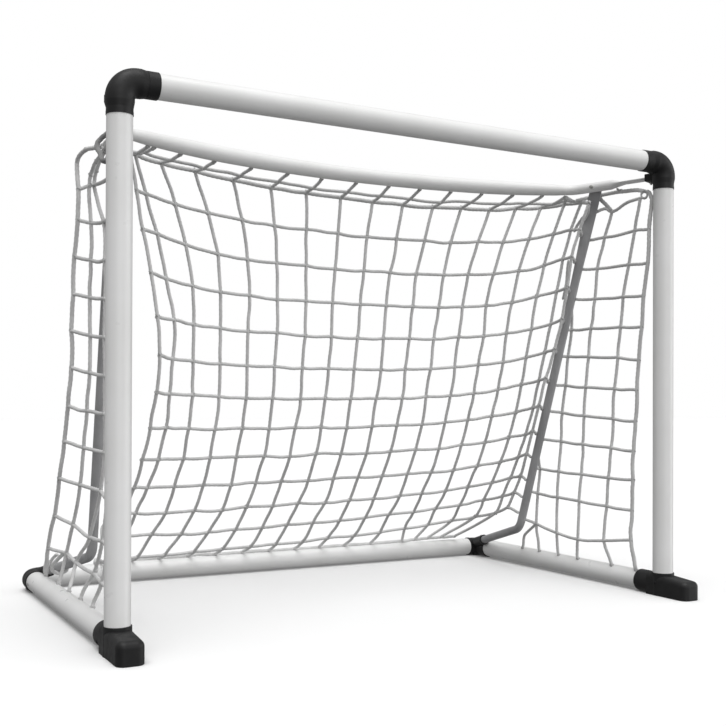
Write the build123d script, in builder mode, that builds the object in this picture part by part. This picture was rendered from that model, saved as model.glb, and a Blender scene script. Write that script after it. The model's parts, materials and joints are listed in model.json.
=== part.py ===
from build123d import *
import math
import os

os.makedirs("parts", exist_ok=True)

# ---------------------------------------------------------------- driving dimensions (mm)
post_spacing = 1800.0          # between the axes of the two posts
crossbar_axis_z = 1410.0       # height of the crossbar's axis
frame_depth = 1062.0           # from the posts' axes back to the rear ground bar's axis
ground_axis_z = 35.5           # the ground bars' axes

tube_od = 65.0                 # posts, crossbar and ground bars
tube_wall = 3.0
spigot_r = 29.3                # connectors' spigots inside the tubes' 29.5 mm bores
spigot_len = 70.0
spigot_bore_r = 25.8
socket_bore_r = 32.65          # the feet's sockets round the tubes

elbow_r = 33.5                 # outside radius of the top elbows' legs
elbow_heel_r = 36.6            # the fuller bend between them
elbow_mouth_r = 34.5           # the collar on the crossbar's side
corner_r = 34.2                # outside radius of the rear corners
elbow_lip_r = 35.5             # the slightly larger collars at the mouths below
elbow_bend_r = 44.0            # centreline bend of the top elbows
elbow_reach = 85.0             # from the corner of the axes down to the post's mouth
elbow_reach_side = 96.0        # and in to the crossbar's mouth
corner_bend_r = 36.0           # centreline bend of the rear corners
corner_reach_side = 90.0
corner_reach_rear = 50.0

foot_front = 130.0             # from the post's axis to the foot's nose
foot_nose_height = 58.0         # the block's top slopes down to this at the nose
foot_block_height = 71.0
foot_half_width = 36.0
foot_height = 71.0
foot_socket_end = 100.0        # from the post's axis back to the rear socket's mouth
post_floor = 12.0              # the foot's floor under the post

bow_r = 24.0                   # the bowed upper bar that the net hangs from
bow_wall = 2.2
bow_z = 1370.0
bow_back = 482.0               # its middle, behind the posts' axes
bow_sweep_r = 2100.0           # the bow's large radius
bow_even_x = 500.0             # the bow keeps its full diameter out to here
bow_leg_r = 16.5
bow_corner_r = 60.0

strut_r = 15.0
strut_wall = 2.0
strut_bend_r = 60.0

button_r = 5.0
button_hole_r = 5.1
button_back = 32.0             # from a connector's shoulder to its locking button

x_post = post_spacing / 2
y_front = -(frame_depth + ground_axis_z - foot_front) / 2   # the box is centred on the origin
y_rear = y_front + frame_depth
tube_r = tube_od / 2
bore_r = tube_r - tube_wall


def unit(v):
    return Vector(*v).normalized()


def finish(builder, label):
    builder.part.label = label
    export_step(builder.part, f"parts/{label}.step")


# ---------------------------------------------------------------- straight tubes
# post: stands in its foot and takes the top elbow's spigot
post_top = crossbar_axis_z - elbow_reach
with BuildPart() as right_post:
    with BuildSketch(Plane.XY.offset(post_floor)):
        with Locations((x_post, y_front)):
            Circle(tube_r)
            Circle(bore_r, mode=Mode.SUBTRACT)
    extrude(amount=post_top - post_floor)
    # button holes: rear side at the elbow, inner side at the foot
    with BuildSketch(Plane(origin=(x_post, y_front + 20, post_top - button_back), x_dir=(1, 0, 0), z_dir=(0, 1, 0))):
        Circle(button_hole_r)
    extrude(amount=20, mode=Mode.SUBTRACT)
    with BuildSketch(Plane(origin=(x_post - 20, y_front, 42.0), x_dir=(0, 1, 0), z_dir=(-1, 0, 0))):
        Circle(button_hole_r)
    extrude(amount=20, mode=Mode.SUBTRACT)
with BuildPart() as left_post:
    mirror(right_post.part, about=Plane.YZ)

crossbar_half = x_post - elbow_reach_side
with BuildPart() as crossbar:
    with BuildSketch(Plane(origin=(-crossbar_half, y_front, crossbar_axis_z), x_dir=(0, 1, 0), z_dir=(1, 0, 0))):
        Circle(tube_r)
        Circle(bore_r, mode=Mode.SUBTRACT)
    extrude(amount=2 * crossbar_half)
    for s in (-1, 1):
        with BuildSketch(Plane(origin=(s * (crossbar_half - button_back), y_front + 20, crossbar_axis_z), x_dir=(1, 0, 0), z_dir=(0, 1, 0))):
            Circle(button_hole_r)
        extrude(amount=20, mode=Mode.SUBTRACT)

rear_half = x_post - corner_reach_rear
with BuildPart() as rear_ground_bar:
    with BuildSketch(Plane(origin=(-rear_half, y_rear, ground_axis_z), x_dir=(0, 1, 0), z_dir=(1, 0, 0))):
        Circle(tube_r)
        Circle(bore_r, mode=Mode.SUBTRACT)
    extrude(amount=2 * rear_half)
    for s in (-1, 1):
        with BuildSketch(Plane(origin=(s * (rear_half - button_back), y_rear + 20, ground_axis_z), x_dir=(1, 0, 0), z_dir=(0, 1, 0))):
            Circle(button_hole_r)
        extrude(amount=20, mode=Mode.SUBTRACT)

side_start = y_front + 39.0                      # in the foot's rear socket
side_end = y_rear - corner_reach_side            # at the rear corner's shoulder
foot_button_y = y_front + foot_socket_end - button_back
foot_button_dir = unit((math.cos(math.radians(20)), 0, -math.sin(math.radians(20))))
corner_button_dir = Vector(1, 0, 0)
with BuildPart() as right_ground_bar:
    with BuildSketch(Plane(origin=(x_post, side_start, ground_axis_z), x_dir=(1, 0, 0), z_dir=(0, 1, 0))):
        Circle(tube_r)
        Circle(bore_r, mode=Mode.SUBTRACT)
    extrude(amount=side_end - side_start)
    with BuildSketch(Plane(origin=Vector(x_post, foot_button_y, ground_axis_z) + foot_button_dir * 20, x_dir=(0, 1, 0), z_dir=foot_button_dir)):
        Circle(button_hole_r)
    extrude(amount=20, mode=Mode.SUBTRACT)
    with BuildSketch(Plane(origin=(x_post + 20, side_end - button_back, ground_axis_z), x_dir=(0, 1, 0), z_dir=(1, 0, 0))):
        Circle(button_hole_r)
    extrude(amount=20, mode=Mode.SUBTRACT)
with BuildPart() as left_ground_bar:
    mirror(right_ground_bar.part, about=Plane.YZ)

# ---------------------------------------------------------------- the bow's line, right half
bow_arc_x = 735.0
bow_centre_y = y_front + bow_back - bow_sweep_r
bow_end_angle = math.asin(bow_arc_x / bow_sweep_r)


def bow_point(x):
    return Vector(x, bow_centre_y + math.sqrt(bow_sweep_r**2 - x**2), bow_z)


def bow_dir(x):
    a = math.asin(x / bow_sweep_r)
    return Vector(math.cos(a), -math.sin(a), 0)


bow_vertex = Vector(794.0, y_front + 327.0, bow_z)       # where the bow turns forward
leg_dir = unit((103.0, -287.0, 0.0))
leg_turn = math.acos(bow_dir(bow_arc_x).dot(leg_dir))
bow_trim = bow_corner_r * math.tan(leg_turn / 2)
axis_point = Vector(x_post, y_front, bow_z)
elbow_at = (axis_point - bow_vertex).dot(leg_dir)         # along the leg, nearest the post's axis
leg_across = unit((-leg_dir.Y, leg_dir.X, 0.0))           # level, square to the leg


def on_leg(s):
    return bow_vertex + leg_dir * s


flat_tip = elbow_at - 37.0
end_bolt_at = elbow_at - 48.0
flat_w, flat_t = 46.0, 4.4
flatten_from, flatten_to = 150.0, 205.0

# ---------------------------------------------------------------- the strut's line, right side
strut_low = Vector(864.0, y_front + 970.0, 70.0)          # leaves the corner's socket
strut_knee = Vector(803.0, y_front + 640.0, 156.0)
strut_bolt_s = 81.8                                        # along the bow's leg
strut_out = Vector(-leg_across.X, -leg_across.Y, 0) if leg_across.X < 0 else leg_across
plate_t = 4.0
low_dir = (strut_knee - strut_low).normalized()
plate_n = strut_out
for _ in range(8):                                         # the plate lies square to its bolt
    strut_top = on_leg(strut_bolt_s) + plate_n * (bow_leg_r + plate_t / 2 + 0.45)
    up_dir = (strut_top - strut_knee).normalized()
    plate_n = up_dir.cross(leg_dir).normalized()
    if plate_n.dot(strut_out) < 0:
        plate_n = plate_n * -1
knee_turn = math.acos(low_dir.dot(up_dir))
knee_trim = strut_bend_r * math.tan(knee_turn / 2)
print("strut knee turn", round(math.degrees(knee_turn), 1), "bow corner turn", round(math.degrees(leg_turn), 1))

# ---------------------------------------------------------------- top elbow
# a short-radius bend with a collar on the crossbar's side, spigots into both tubes and,
# behind, a slotted boss for the bow's flattened end
with BuildPart() as top_right_elbow:
    with BuildLine():
        FilletPolyline(
            (x_post, y_front, post_top),
            (x_post, y_front, crossbar_axis_z),
            (crossbar_half, y_front, crossbar_axis_z),
            radius=elbow_bend_r,
        )
    with BuildSketch(Plane(origin=(x_post, y_front, post_top), x_dir=(1, 0, 0), z_dir=(0, 0, 1))):
        Circle(elbow_r)
    sweep()
    # the fuller bend, standing a little proud of both legs
    with BuildLine():
        FilletPolyline(
            (x_post, y_front, crossbar_axis_z - elbow_bend_r - 7),
            (x_post, y_front, crossbar_axis_z),
            (x_post - elbow_bend_r - 7, y_front, crossbar_axis_z),
            radius=elbow_bend_r,
        )
    with BuildSketch(Plane(origin=(x_post, y_front, crossbar_axis_z - elbow_bend_r - 7), x_dir=(1, 0, 0), z_dir=(0, 0, 1))):
        Circle(elbow_heel_r)
    sweep()
    # it runs out softly into each leg
    with Locations((x_post, y_front, crossbar_axis_z - elbow_bend_r - 7 - 9)):
        Cone(33.2, elbow_heel_r, 18)
    with Locations(Location((x_post - elbow_bend_r - 7 - 9, y_front, crossbar_axis_z), (0, 90, 0))):
        Cone(33.2, elbow_heel_r, 18)
    # collar at the crossbar's mouth
    with BuildSketch(Plane(origin=(crossbar_half, y_front, crossbar_axis_z), x_dir=(0, 1, 0), z_dir=(1, 0, 0))):
        Circle(elbow_mouth_r)
    extrude(amount=30)
    fillet(top_right_elbow.edges().filter_by(GeomType.CIRCLE).filter_by(lambda e: abs(e.radius - elbow_mouth_r) < 0.01 and abs(e.center().X - crossbar_half) < 0.01), 2.4)
    with BuildSketch(Plane(origin=(x_post, y_front, post_top), x_dir=(1, 0, 0), z_dir=(0, 0, 1))):
        Circle(elbow_r + 0.5)
    extrude(amount=9)
    # slotted boss for the bow's end
    with BuildSketch(Plane(origin=on_leg(elbow_at - 20.0), x_dir=leg_across, z_dir=leg_dir * -1)):
        RectangleRounded(58, 25, 5)
    extrude(amount=38)
    # spigots
    with BuildSketch(Plane.XY.offset(post_top - spigot_len)):
        with Locations((x_post, y_front)):
            Circle(spigot_r)
    extrude(amount=spigot_len + 4)
    with BuildSketch(Plane(origin=(crossbar_half - spigot_len, y_front, crossbar_axis_z), x_dir=(0, 1, 0), z_dir=(1, 0, 0))):
        Circle(spigot_r)
    extrude(amount=spigot_len + 4)
    chamfer(top_right_elbow.edges().filter_by(GeomType.CIRCLE).filter_by(lambda e: abs(e.radius - spigot_r) < 0.01 and (e.center().Z < post_top - spigot_len + 1 or e.center().X < crossbar_half - spigot_len + 1)), 1.5)
    # the bore right through
    with BuildLine():
        FilletPolyline(
            (x_post, y_front, post_top - spigot_len - 5),
            (x_post, y_front, crossbar_axis_z),
            (crossbar_half - spigot_len - 5, y_front, crossbar_axis_z),
            radius=elbow_bend_r,
        )
    with BuildSketch(Plane(origin=(x_post, y_front, post_top - spigot_len - 5), x_dir=(1, 0, 0), z_dir=(0, 0, 1))):
        Circle(spigot_bore_r)
    sweep(mode=Mode.SUBTRACT)
    # slot and bolt hole in the boss
    with BuildSketch(Plane(origin=on_leg(elbow_at - 36.0), x_dir=leg_across, z_dir=leg_dir * -1)):
        Rectangle(flat_w + 1.0, flat_t + 0.6)
    extrude(amount=24, mode=Mode.SUBTRACT)
    with BuildSketch(Plane(origin=on_leg(end_bolt_at) - Vector(0, 0, 20), x_dir=(1, 0, 0), z_dir=(0, 0, 1))):
        Circle(3.2)
    extrude(amount=40, mode=Mode.SUBTRACT)
    # button holes on the rear
    with BuildSketch(Plane(origin=(x_post, y_front + 15, post_top - button_back), x_dir=(1, 0, 0), z_dir=(0, 1, 0))):
        Circle(button_hole_r + 0.1)
    extrude(amount=25, mode=Mode.SUBTRACT)
    with BuildSketch(Plane(origin=(crossbar_half - button_back, y_front + 15, crossbar_axis_z), x_dir=(1, 0, 0), z_dir=(0, 1, 0))):
        Circle(button_hole_r + 0.1)
    extrude(amount=25, mode=Mode.SUBTRACT)
with BuildPart() as top_left_elbow:
    mirror(top_right_elbow.part, about=Plane.YZ)

# ---------------------------------------------------------------- foot
# a flat-bottomed block with a rounded nose: the post drops in from above, the side bar
# enters from behind
with BuildPart() as right_foot:
    with BuildSketch(Plane(origin=(x_post - foot_half_width + 0.8, 0, 0), x_dir=(0, 1, 0), z_dir=(1, 0, 0))):
        with BuildLine():
            Polyline(
                (y_front + 40, 0),
                (y_front - foot_front, 0),
                (y_front - foot_front, foot_nose_height),
                (y_front + 40, foot_block_height),
                close=True,
            )
        make_face()
    extrude(amount=2 * foot_half_width - 1.6)
    fillet(right_foot.edges().filter_by(Axis.Z).filter_by(lambda e: e.center().Y < y_front - foot_front + 1), 22)
    # the nose's top edge, rounded all the way round
    fillet(
        right_foot.edges().filter_by(
            lambda e: e.center().Z > foot_nose_height - 3 and e.center().Y < y_front + 39
        ),
        17,
    )
    fillet(
        right_foot.edges().filter_by(lambda e: abs(e.center().Z) < 0.01 and e.center().Y < y_front + 39),
        2.5,
    )
    # collar round the post
    with BuildSketch(Plane.XY):
        with Locations((x_post, y_front)):
            Circle(foot_half_width)
    extrude(amount=foot_height + 2.5)
    fillet(right_foot.edges().filter_by(GeomType.CIRCLE).filter_by(lambda e: abs(e.center().Z - foot_height - 2.5) < 0.01), 1.6)
    # rear socket
    with BuildSketch(Plane(origin=(x_post, y_front + 25, ground_axis_z), x_dir=(1, 0, 0), z_dir=(0, 1, 0))):
        Circle(elbow_lip_r)
    extrude(amount=foot_socket_end - 25)
    fillet(right_foot.edges().filter_by(GeomType.CIRCLE).filter_by(lambda e: abs(e.center().Y - y_front - foot_socket_end) < 0.01), 1.8)
    # bores
    with BuildSketch(Plane.XY.offset(post_floor)):
        with Locations((x_post, y_front)):
            Circle(socket_bore_r)
    extrude(amount=80, mode=Mode.SUBTRACT)
    with BuildSketch(Plane(origin=(x_post, y_front + 38, ground_axis_z), x_dir=(1, 0, 0), z_dir=(0, 1, 0))):
        Circle(socket_bore_r)
    extrude(amount=80, mode=Mode.SUBTRACT)
    # button holes: outer side of the rear socket, inner side of the post's socket
    with BuildSketch(Plane(origin=Vector(x_post, foot_button_y, ground_axis_z) + foot_button_dir * 20, x_dir=(0, 1, 0), z_dir=foot_button_dir)):
        Circle(button_hole_r + 0.1)
    extrude(amount=25, mode=Mode.SUBTRACT)
    with BuildSketch(Plane(origin=(x_post - 20, y_front, 42.0), x_dir=(0, 1, 0), z_dir=(-1, 0, 0))):
        Circle(button_hole_r + 0.1)
    extrude(amount=25, mode=Mode.SUBTRACT)
with BuildPart() as left_foot:
    mirror(right_foot.part, about=Plane.YZ)

# ---------------------------------------------------------------- rear corner
# a tight bend with spigots into the side bar and the rear bar, a flat pad underneath
# and a socket above for the strut
boss_mouth = strut_low + low_dir * 20.0
boss_back = strut_low - low_dir * 85.0
with BuildPart() as rear_right_corner:
    with BuildLine():
        FilletPolyline(
            (x_post, side_end, ground_axis_z),
            (x_post, y_rear, ground_axis_z),
            (rear_half, y_rear, ground_axis_z),
            radius=corner_bend_r,
        )
    with BuildSketch(Plane(origin=(x_post, side_end, ground_axis_z), x_dir=(1, 0, 0), z_dir=(0, 1, 0))):
        Circle(corner_r)
    sweep()
    with BuildSketch(Plane(origin=(x_post, side_end, ground_axis_z), x_dir=(1, 0, 0), z_dir=(0, 1, 0))):
        Circle(elbow_lip_r)
    extrude(amount=12)
    with BuildSketch(Plane(origin=(rear_half, y_rear, ground_axis_z), x_dir=(0, 1, 0), z_dir=(1, 0, 0))):
        Circle(elbow_lip_r)
    extrude(amount=10)
    fillet(
        rear_right_corner.edges().filter_by(GeomType.CIRCLE).filter_by(
            lambda e: abs(e.radius - elbow_lip_r) < 0.01
            and (abs(e.center().Y - side_end) < 0.01 or abs(e.center().X - rear_half) < 0.01)
        ),
        1.4,
    )
    # flat pad on the ground
    with BuildSketch(Plane.XY):
        with Locations((x_post - 8, y_rear - 8)):
            RectangleRounded(48, 48, 8)
    extrude(amount=12)
    # strut socket
    with BuildSketch(Plane(origin=boss_back, x_dir=(1, 0, 0), z_dir=low_dir)):
        Circle(20)
    extrude(amount=105)
    # the socket's underside clears the side bar
    with BuildSketch(Plane(origin=(x_post, side_end, ground_axis_z), x_dir=(1, 0, 0), z_dir=(0, -1, 0))):
        Circle(tube_r + 0.25)
    extrude(amount=60, mode=Mode.SUBTRACT)
    # spigots
    with BuildSketch(Plane(origin=(x_post, side_end - spigot_len, ground_axis_z), x_dir=(1, 0, 0), z_dir=(0, 1, 0))):
        Circle(spigot_r)
    extrude(amount=spigot_len + 4)
    with BuildSketch(Plane(origin=(rear_half - spigot_len, y_rear, ground_axis_z), x_dir=(0, 1, 0), z_dir=(1, 0, 0))):
        Circle(spigot_r)
    extrude(amount=spigot_len + 4)
    chamfer(rear_right_corner.edges().filter_by(GeomType.CIRCLE).filter_by(lambda e: abs(e.radius - spigot_r) < 0.01 and (abs(e.center().Y - side_end + spigot_len) < 0.01 or abs(e.center().X - rear_half + spigot_len) < 0.01)), 1.5)
    # bore right through
    with BuildLine():
        FilletPolyline(
            (x_post, side_end - spigot_len - 5, ground_axis_z),
            (x_post, y_rear, ground_axis_z),
            (rear_half - spigot_len - 5, y_rear, ground_axis_z),
            radius=corner_bend_r,
        )
    with BuildSketch(Plane(origin=(x_post, side_end - spigot_len - 5, ground_axis_z), x_dir=(1, 0, 0), z_dir=(0, 1, 0))):
        Circle(spigot_bore_r)
    sweep(mode=Mode.SUBTRACT)
    # the strut's blind socket
    with BuildSketch(Plane(origin=boss_mouth + low_dir * 5, x_dir=(1, 0, 0), z_dir=low_dir * -1)):
        Circle(strut_r + 0.2)
    extrude(amount=55, mode=Mode.SUBTRACT)
    # button holes
    with BuildSketch(Plane(origin=(x_post + 15, side_end - button_back, ground_axis_z), x_dir=(0, 1, 0), z_dir=(1, 0, 0))):
        Circle(button_hole_r + 0.1)
    extrude(amount=25, mode=Mode.SUBTRACT)
    with BuildSketch(Plane(origin=(rear_half - button_back, y_rear + 15, ground_axis_z), x_dir=(1, 0, 0), z_dir=(0, 1, 0))):
        Circle(button_hole_r + 0.1)
    extrude(amount=25, mode=Mode.SUBTRACT)
with BuildPart() as rear_left_corner:
    mirror(rear_right_corner.part, about=Plane.YZ)

# ---------------------------------------------------------------- bow
# one bent tube: an even arc across the back, ends that taper round a corner and run
# forward, flattened where they enter the elbows
bow_taper = ((500.0, 24.0), (540.0, 23.5), (580.0, 22.9), (620.0, 22.1), (660.0, 21.1), (700.0, 20.0), (735.0, 19.0))
bow_bend_start = bow_vertex - bow_dir(bow_arc_x) * bow_trim


def bow_plane(p, d):
    return Plane(origin=p, x_dir=(0, 0, 1), z_dir=d)


half_bows = []
for inset in (0.0, bow_wall):
    with BuildPart() as half_bow:
        with BuildLine():
            CenterArc(
                (0, bow_centre_y, bow_z),
                bow_sweep_r,
                90 - math.degrees(math.asin(bow_even_x / bow_sweep_r)),
                math.degrees(math.asin(bow_even_x / bow_sweep_r)) + 1.0,
            )
        with BuildSketch(bow_plane(bow_point(bow_even_x), bow_dir(bow_even_x))):
            Circle(bow_r - inset)
        sweep()
        for x, r in bow_taper:
            with BuildSketch(bow_plane(bow_point(x), bow_dir(x))):
                Circle(r - inset)
        loft(ruled=True)
        with BuildSketch(bow_plane(bow_point(bow_arc_x), bow_dir(bow_arc_x))):
            Circle(bow_taper[-1][1] - inset)
        with BuildSketch(bow_plane(bow_bend_start, bow_dir(bow_arc_x))):
            Circle(bow_leg_r - inset)
        loft(ruled=True)
        with BuildLine():
            FilletPolyline(bow_bend_start, bow_vertex, on_leg(62.0), radius=bow_corner_r - 0.01)
        with BuildSketch(bow_plane(bow_bend_start, bow_dir(bow_arc_x))):
            Circle(bow_leg_r - inset)
        sweep()
    half_bows.append(half_bow)
    print("half bow", half_bow.part.volume, half_bow.part.bounding_box(), half_bow.part.is_valid)

with BuildPart() as net_bow:
    add(half_bows[0].part)
    # straight leg, then the flattened end
    with BuildSketch(bow_plane(on_leg(60.0), leg_dir)):
        Circle(bow_leg_r)
    extrude(amount=flatten_from - 60.0)
    with BuildSketch(bow_plane(on_leg(flatten_from), leg_dir)):
        Circle(bow_leg_r)
    with BuildSketch(bow_plane(on_leg((flatten_from + flatten_to) / 2), leg_dir)):
        Ellipse(9.2, 20.5)
    with BuildSketch(bow_plane(on_leg(flatten_to), leg_dir)):
        Ellipse(flat_t / 2, flat_w / 2)
    loft()
    with BuildSketch(bow_plane(on_leg(flatten_to - 6), leg_dir)):
        RectangleRounded(flat_t, flat_w, 2.0)
    extrude(amount=flat_tip - flatten_to + 6)
    add(half_bows[1].part, mode=Mode.SUBTRACT)
    with BuildSketch(bow_plane(on_leg(60.0), leg_dir)):
        Circle(bow_leg_r - bow_wall)
    extrude(amount=flatten_from - 60.0 - 4, mode=Mode.SUBTRACT)
    # bolt holes: level through the leg for the strut, upright through the flat end
    with BuildSketch(Plane(origin=on_leg(strut_bolt_s) - plate_n * 30, x_dir=leg_dir, z_dir=plate_n)):
        Circle(3.2)
    extrude(amount=60, mode=Mode.SUBTRACT)
    with BuildSketch(Plane(origin=on_leg(end_bolt_at) - Vector(0, 0, 20), x_dir=(1, 0, 0), z_dir=(0, 0, 1))):
        Circle(3.2)
    extrude(amount=40, mode=Mode.SUBTRACT)
    # keep the right half and mirror it
    split(bisect_by=Plane.YZ, keep=Keep.TOP)
    mirror(about=Plane.YZ)

# ---------------------------------------------------------------- strut
knee_start = strut_knee - low_dir * knee_trim
knee_end = strut_knee + up_dir * knee_trim
strut_begin = boss_mouth - low_dir * 48.0
up_len = (strut_top - knee_end).length
# the tube flattens slowly towards the bolt: distance from the top, half width, half thickness
strut_flattening = ((330.0, 15.0, 15.0), (250.0, 17.6, 12.2), (180.0, 20.2, 8.4), (120.0, 22.0, 4.6), (75.0, 23.0, 2.1))


def on_strut(s):
    return knee_end + up_dir * s


plate_x = plate_n.cross(up_dir).normalized()
plate_w = 46.0
with BuildPart() as right_strut:
    with BuildLine():
        FilletPolyline(strut_begin, strut_knee, on_strut(up_len - 330.0), radius=strut_bend_r)
    with BuildSketch(Plane(origin=strut_begin, x_dir=(1, 0, 0), z_dir=low_dir)):
        Circle(strut_r)
        Circle(strut_r - strut_wall, mode=Mode.SUBTRACT)
    sweep()
    # flattened top
    for back, half_w, half_t in strut_flattening:
        with BuildSketch(Plane(origin=on_strut(up_len - back), x_dir=plate_x, z_dir=up_dir)):
            if half_w == half_t:
                Circle(half_w)
            else:
                Ellipse(half_w, half_t)
    loft()
    # the inside of the flattened tube, closed where its walls meet
    for back, half_w, half_t in strut_flattening[:-1]:
        with BuildSketch(Plane(origin=on_strut(up_len - back), x_dir=plate_x, z_dir=up_dir)):
            if half_w == half_t:
                Circle(half_w - strut_wall)
            else:
                Ellipse(half_w - strut_wall, half_t - strut_wall)
    loft(mode=Mode.SUBTRACT)
    # the flat end with rounded corners
    with BuildSketch(Plane(origin=on_strut(up_len - 85.0), x_dir=plate_x, z_dir=up_dir)):
        RectangleRounded(plate_w, plate_t, 1.9)
    extrude(amount=85.0 + 17.0)
    with BuildSketch(Plane(origin=strut_top - plate_n * 20, x_dir=plate_x, z_dir=plate_n)):
        Circle(3.2)
    extrude(amount=40, mode=Mode.SUBTRACT)
    # round the end off about the bolt
    with BuildSketch(Plane(origin=strut_top - plate_n * 12, x_dir=up_dir, z_dir=plate_n)):
        with Locations((8.0, 0.0)):
            Rectangle(30.0, 70.0, align=(Align.MIN, Align.CENTER))
        with Locations((-6.0, 0.0)):
            Circle(plate_w / 2 + 0.6, mode=Mode.SUBTRACT)
    extrude(amount=24, mode=Mode.SUBTRACT)
with BuildPart() as left_strut:
    mirror(right_strut.part, about=Plane.YZ)

# ---------------------------------------------------------------- fasteners (one node each, mirrored pairs)
hex_r = 5.0 / math.cos(math.radians(30))
end_bolt_point = on_leg(end_bolt_at)
with BuildPart() as bow_end_bolts:
    with BuildSketch(Plane(origin=end_bolt_point - Vector(0, 0, 21), x_dir=(1, 0, 0), z_dir=(0, 0, 1))):
        Circle(3.0)
    extrude(amount=21 + 12.7)
    with BuildSketch(Plane(origin=end_bolt_point + Vector(0, 0, 12.7), x_dir=(1, 0, 0), z_dir=(0, 0, 1))):
        RegularPolygon(hex_r, 6)
    extrude(amount=4)
    mirror(about=Plane.YZ)
with BuildPart() as bow_end_nuts:
    with BuildSketch(Plane(origin=end_bolt_point - Vector(0, 0, 12.7), x_dir=(1, 0, 0), z_dir=(0, 0, -1))):
        RegularPolygon(hex_r, 6)
        Circle(3.05, mode=Mode.SUBTRACT)
    extrude(amount=5)
    mirror(about=Plane.YZ)

plate_outer = strut_top + plate_n * (plate_t / 2)
leg_centre = on_leg(strut_bolt_s)
bolt_len = (plate_outer - leg_centre).dot(plate_n) + bow_leg_r + 10
with BuildPart() as strut_top_bolts:
    with BuildSketch(Plane(origin=plate_outer + plate_n * 1.4, x_dir=plate_x, z_dir=plate_n * -1)):
        Circle(3.0)
    extrude(amount=bolt_len + 1.4)
    with BuildSketch(Plane(origin=plate_outer + plate_n * 1.4, x_dir=plate_x, z_dir=plate_n)):
        RegularPolygon(hex_r, 6)
    extrude(amount=4)
    mirror(about=Plane.YZ)
with BuildPart() as strut_top_washers:
    with BuildSketch(Plane(origin=plate_outer + plate_n * 0.1, x_dir=plate_x, z_dir=plate_n)):
        Circle(6.5)
        Circle(3.15, mode=Mode.SUBTRACT)
    extrude(amount=1.2)
    with BuildSketch(Plane(origin=leg_centre - plate_n * (bow_leg_r + 0.1), x_dir=plate_x, z_dir=plate_n * -1)):
        Circle(6.5)
        Circle(3.15, mode=Mode.SUBTRACT)
    extrude(amount=1.2)
    mirror(about=Plane.YZ)
with BuildPart() as strut_top_nuts:
    with BuildSketch(Plane(origin=leg_centre - plate_n * (bow_leg_r + 1.4), x_dir=plate_x, z_dir=plate_n * -1)):
        RegularPolygon(hex_r, 6)
        Circle(3.05, mode=Mode.SUBTRACT)
    extrude(amount=5)
    mirror(about=Plane.YZ)

# the screw that holds each strut in its socket
screw_dir = unit(Vector(-0.35, 0, 1) - low_dir * Vector(-0.35, 0, 1).dot(low_dir))
screw_at = boss_mouth - low_dir * 14.0
with BuildPart() as strut_socket_screws:
    with BuildSketch(Plane(origin=screw_at + screw_dir * 20.1, x_dir=low_dir, z_dir=screw_dir)):
        Circle(4.2)
    extrude(amount=2.4)
    fillet(strut_socket_screws.edges().sort_by(lambda e: (e.center() - screw_at).dot(screw_dir))[-1], 1.2)
    with BuildSketch(Plane(origin=screw_at + screw_dir * 20.1, x_dir=low_dir, z_dir=screw_dir * -1)):
        Circle(2.0)
    extrude(amount=10)
    mirror(about=Plane.YZ)
screw_planes = Plane(origin=screw_at + screw_dir * 8, x_dir=low_dir, z_dir=screw_dir)
with BuildPart() as screw_hole:
    with BuildSketch(screw_planes):
        Circle(2.05)
    extrude(amount=16)
    mirror(about=Plane.YZ)
for holed in (rear_right_corner, rear_left_corner, right_strut, left_strut):
    with holed:
        add(screw_hole.part, mode=Mode.SUBTRACT)

# ---------------------------------------------------------------- locking buttons
# each joint is locked by a button on the arm of a bent leaf spring inside the tube:
# (name, point on the tube's axis, way into the tube, way out of the hole, in a foot's socket)
c20 = foot_button_dir
right_joints = [
    ("post_top_button", (x_post, y_front, post_top - button_back), (0, 0, -1), (0, 1, 0), False),
    ("crossbar_button", (crossbar_half - button_back, y_front, crossbar_axis_z), (-1, 0, 0), (0, 1, 0), False),
    ("post_foot_button", (x_post, y_front, 42.0), (0, 0, 1), (-1, 0, 0), True),
    ("ground_bar_front_button", (x_post, foot_button_y, ground_axis_z), (0, 1, 0), (c20.X, c20.Y, c20.Z), True),
    ("ground_bar_rear_button", (x_post, side_end - button_back, ground_axis_z), (0, -1, 0), (1, 0, 0), False),
    ("rear_bar_button", (rear_half - button_back, y_rear, ground_axis_z), (-1, 0, 0), (0, 1, 0), False),
]
buttons = {}
spring_planes = []
for name, at, into, out, socketed in right_joints:
    for side in ("right", "left"):
        s = 1 if side == "right" else -1
        plane = Plane(origin=(at[0] * s, at[1], at[2]), x_dir=(into[0] * s, into[1], into[2]), z_dir=(out[0] * s, out[1], out[2]))
        arm_top = 26.6 if socketed else 22.9
        head_top = 37.6 if socketed else 34.9
        with BuildPart(plane) as button:
            with Locations((0, 0, arm_top)):
                Cylinder(button_r, head_top - arm_top, align=(Align.CENTER, Align.CENTER, Align.MIN))
            fillet(button.edges().filter_by(GeomType.CIRCLE).sort_by(lambda e: (e.center() - plane.origin).dot(plane.z_dir))[-1], 2.2)
            with Locations((0, 0, arm_top)):
                Cylinder(7.4, 1.3, align=(Align.CENTER, Align.CENTER, Align.MIN))
            with Locations((13.0, 0, arm_top)):
                Box(42.0, 12.0, 1.0, align=(Align.CENTER, Align.CENTER, Align.MAX))
        buttons[f"{side}_{name}"] = button
        spring_planes.append((plane, socketed))

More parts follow.
